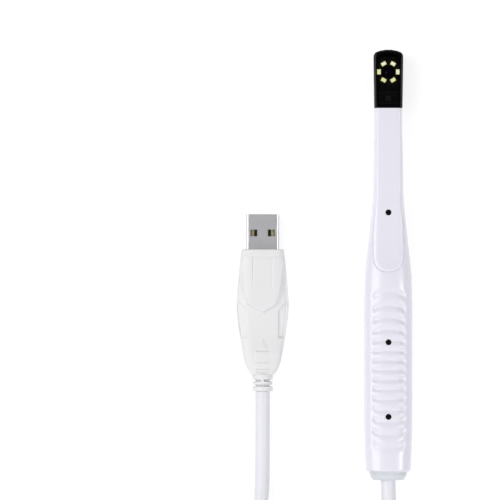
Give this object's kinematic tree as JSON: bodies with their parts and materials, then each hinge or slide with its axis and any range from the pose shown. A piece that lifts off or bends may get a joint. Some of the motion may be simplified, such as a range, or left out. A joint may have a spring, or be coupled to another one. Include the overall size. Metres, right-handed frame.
{
  "type": "intraoral camera",
  "caption": "Slim white wand with a black camera head, a ring of lights around its lens, a ribbed grip, a capture button and a USB cable.",
  "frame": {"origin": "under the middle of the handpiece's length, on the surface that its back lies on", "axes": "+Y along the handpiece towards the camera head, +Z the way the lens looks, +X to the right seen from the lens side"},
  "size_m": [0.0798, 0.2487, 0.0179],
  "materials": {
    "white_plastic": "satin moulded white ABS",
    "black_gloss": "polished black moulding",
    "window_clear": "smoked clear acrylic",
    "gasket_black": "matt",
    "lens_glass": "coated optical glass",
    "filter_glass": "coated filter glass",
    "barrel_black": "black anodised",
    "holder_black": "matt",
    "sensor_package": "sensor cover glass",
    "board_green": "solder mask",
    "board_black": "black solder mask",
    "led_white": "moulded light package",
    "phosphor_yellow": "cured phosphor",
    "screw_black": "black oxide",
    "frame_grey": "glass filled",
    "cap_grey": "fine spark texture",
    "button_grey": "soft touch",
    "cable_white": "satin extruded jacket",
    "plug_white": "fine matt moulding",
    "shell_steel": "nickel plated steel",
    "contact_gold": "gold plated",
    "insulator_black": "matt",
    "chip_black": "moulded package",
    "can_metal": "tin plated",
    "capacitor_tan": "ceramic",
    "connector_ivory": "nylon",
    "flex_amber": "polyimide film",
    "switch_metal": "stamped cover",
    "plunger_black": "nylon",
    "wire_red": "wire insulation",
    "wire_white": "wire insulation",
    "wire_green": "wire insulation",
    "wire_black": "wire insulation",
    "crimp_metal": "rolled ferrule",
    "strap_grey": "woven hook and loop",
    "bush_white": "soft moulding"
  },
  "bodies": {
    "root": {"front_shell": "white_plastic", "rear_shell": "white_plastic", "head_cap": "black_gloss", "head_window": "window_clear", "window_gasket": "gasket_black", "head_frame": "frame_grey", "case_screws": "screw_black", "head_screw": "screw_black", "lens_barrel": "barrel_black", "lens_front_element": "lens_glass", "lens_spacer": "barrel_black", "lens_rear_element": "lens_glass", "lens_holder": "holder_black", "ir_filter": "filter_glass", "image_sensor": "sensor_package", "sensor_board": "board_green", "led_board": "board_black", "light_baffle": "holder_black", "led_phosphors": "phosphor_yellow", "main_board": "board_green", "usb_controller": "chip_black", "crystal": "can_metal", "voltage_regulator": "chip_black", "board_capacitors": "capacitor_tan", "flex_connector": "connector_ivory", "wire_header": "connector_ivory", "wire_plug": "connector_ivory", "head_flex": "flex_amber", "switch_housing": "switch_metal", "end_cap": "cap_grey", "cable_grommet": "bush_white", "cable_crimp": "crimp_metal", "cable_inner_end": "cable_white", "wire_red": "wire_red", "wire_white": "wire_white", "wire_green": "wire_green", "wire_black": "wire_black", "plug_shell": "shell_steel", "plug_insulator": "insulator_black", "plug_contacts": "contact_gold", "plug_cover": "plug_white", "plug_boot": "plug_white", "cable_handpiece_run": "cable_white", "cable_coil": "cable_white", "cable_plug_run": "cable_white", "coil_tie": "strap_grey", "led_1": "led_white", "led_2": "led_white", "led_3": "led_white", "led_4": "led_white", "led_5": "led_white", "led_6": "led_white"},
    "capture_button": {"button_cap": "button_grey", "switch_plunger": "plunger_black"}
  },
  "joints": [
    {"name": "capture_button_press", "type": "slide", "parent": "root", "child": "capture_button", "axis": [0, 0, 1], "range_m": [0, 0.0004], "stiffness_N_per_m": 500, "springref_m": -0.002}
  ]
}
